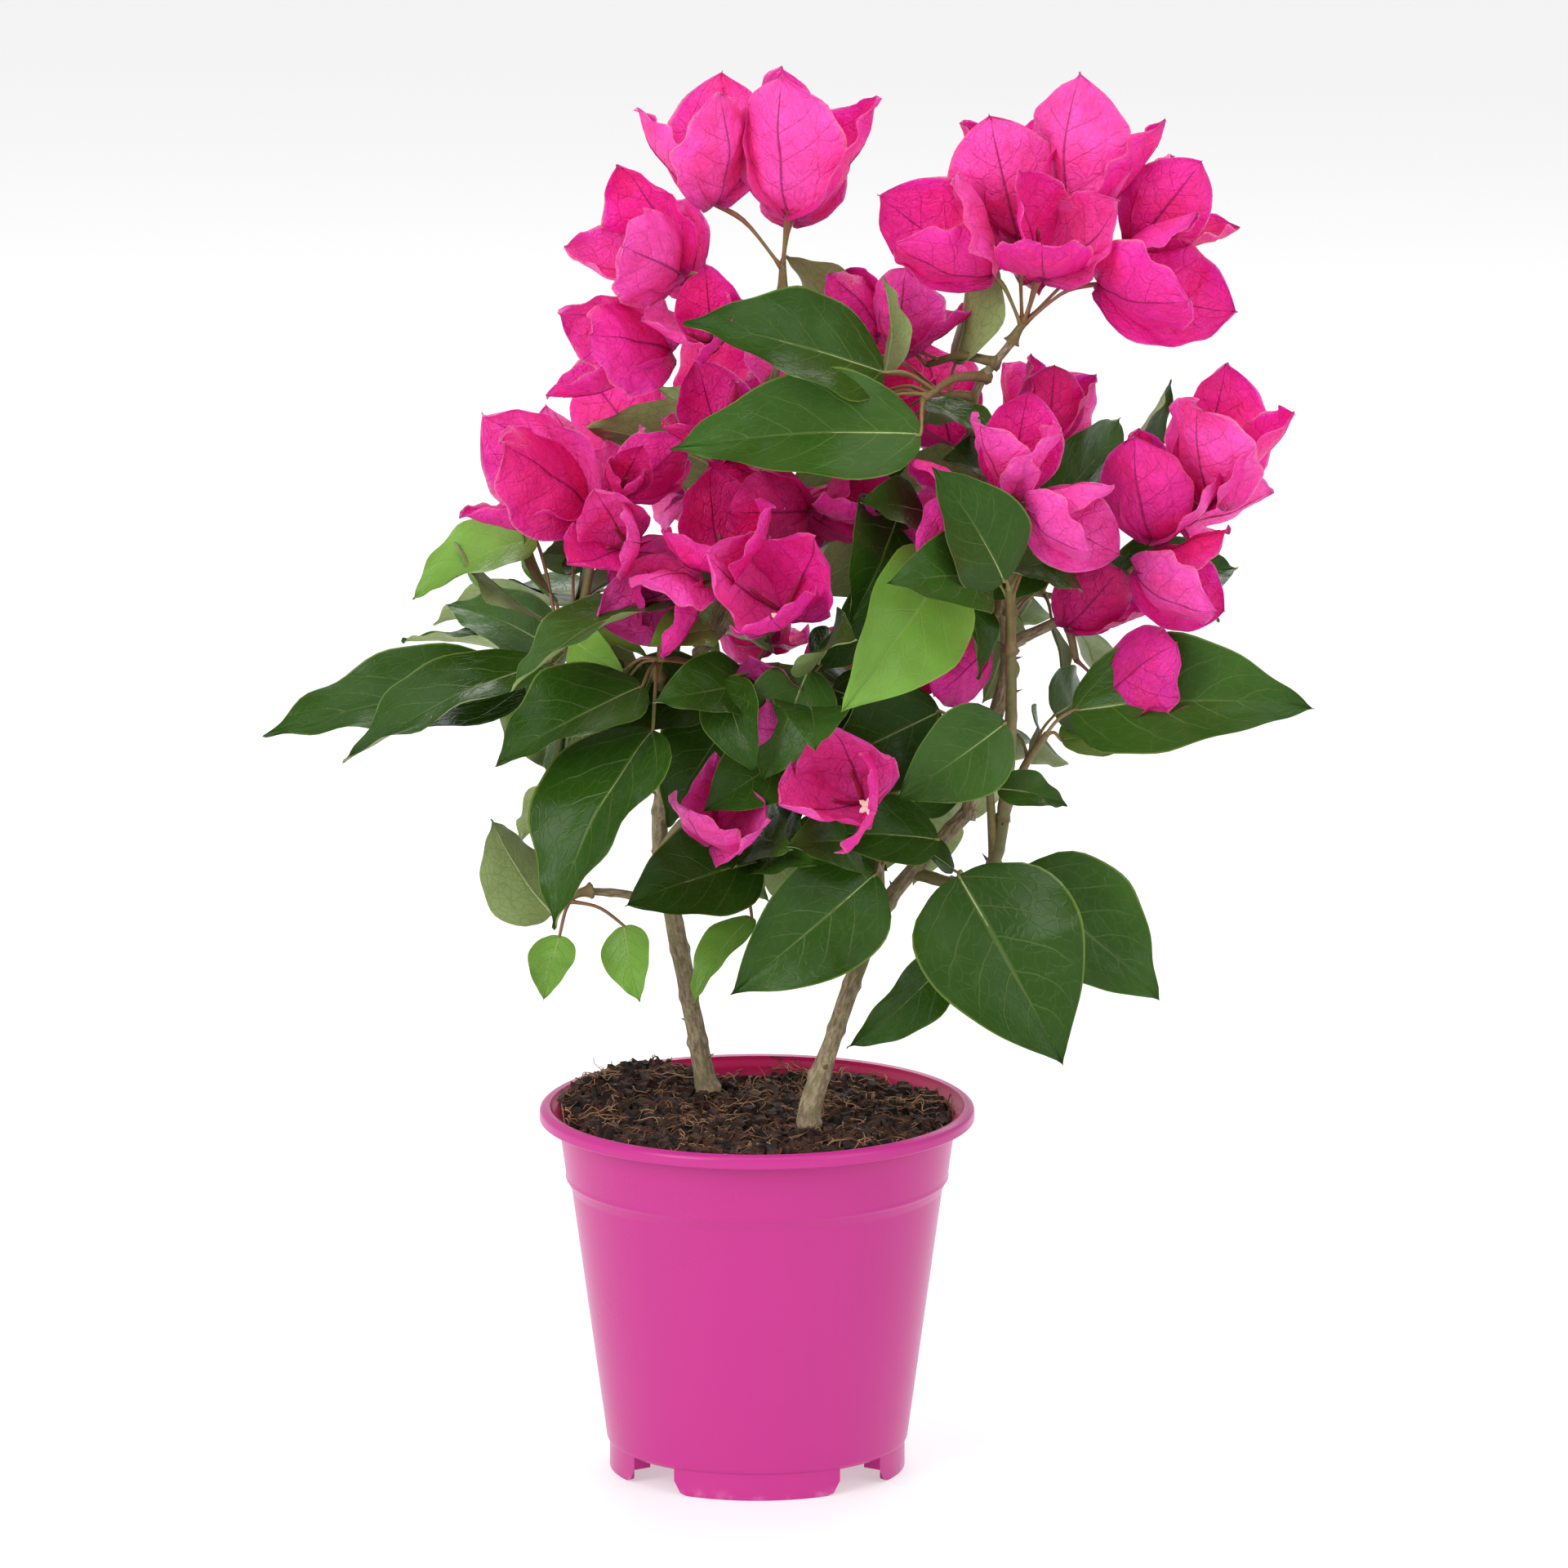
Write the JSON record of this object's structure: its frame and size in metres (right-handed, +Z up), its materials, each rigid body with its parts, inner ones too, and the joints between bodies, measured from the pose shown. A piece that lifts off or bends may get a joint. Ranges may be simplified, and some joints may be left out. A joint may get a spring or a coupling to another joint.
{
  "type": "potted bougainvillea bush",
  "caption": "Flowering bush on two woody stems in a round plastic nursery pot, with heads of papery bracts and broad green leaves.",
  "frame": {"origin": "on the ground, under the middle of the whole plant's outline seen from above; the pot's own axis stands a little to the left of it and in front of it", "axes": "+Z up, +X to the right and -Y towards the viewer when the plant is seen from its front"},
  "size_m": [0.4022, 0.2486, 0.5543],
  "materials": {
    "pot": "satin moulded plastic, hot pink",
    "soil": "moist fibrous potting soil",
    "bark": "fissured grey-tan bark",
    "green_shoot": "smooth young olive bark",
    "bracts": "thin papery bracts, hot pink",
    "leaves": "semi-gloss green leaves"
  },
  "bodies": {
    "root": {"pot": "pot", "soil": "soil", "front_stem": "bark", "left_stem": "bark", "right_bough": "bark", "right_shoot": "green_shoot", "centre_bough": "bark", "left_bough": "bark", "left_front_bough": "bark", "front_bough": "bark", "middle_bough": "bark", "low_left_bough": "bark", "far_right_bough": "bark", "back_bough": "bark", "right_back_bough": "bark", "bloom_top_left": "bracts", "bloom_upper_left": "bracts", "bloom_top_right": "bracts", "bloom_left": "bracts", "bloom_centre": "bracts", "bloom_middle": "bracts", "bloom_right_centre": "bracts", "bloom_upper_centre": "bracts", "bloom_upper_right": "bracts", "bloom_right": "bracts", "bloom_side_right": "bracts", "bloom_low_centre": "bracts", "bloom_low_left": "bracts", "bloom_inner_right": "bracts", "bloom_back_left": "bracts", "bloom_back_right": "bracts", "bloom_back_middle": "bracts", "bloom_back_low": "bracts", "leaves_top": "leaves", "leaves_crown": "leaves", "leaves_right_top": "leaves", "leaves_centre": "leaves", "leaves_fold": "leaves", "leaves_left": "leaves", "leaves_left_front": "leaves", "leaves_middle": "leaves", "leaves_low_middle": "leaves", "leaves_low_centre": "leaves", "leaves_low_left": "leaves", "leaves_low_right": "leaves", "leaves_right": "leaves", "leaves_inner_right": "leaves", "leaves_back_left": "leaves", "leaves_back_low_left": "leaves", "leaves_back_right": "leaves", "leaves_back_middle": "leaves", "leaves_back_low": "leaves", "leaves_side_left": "leaves", "leaves_side_right": "leaves", "leaves_back_top": "leaves"}
  },
  "joints": []
}
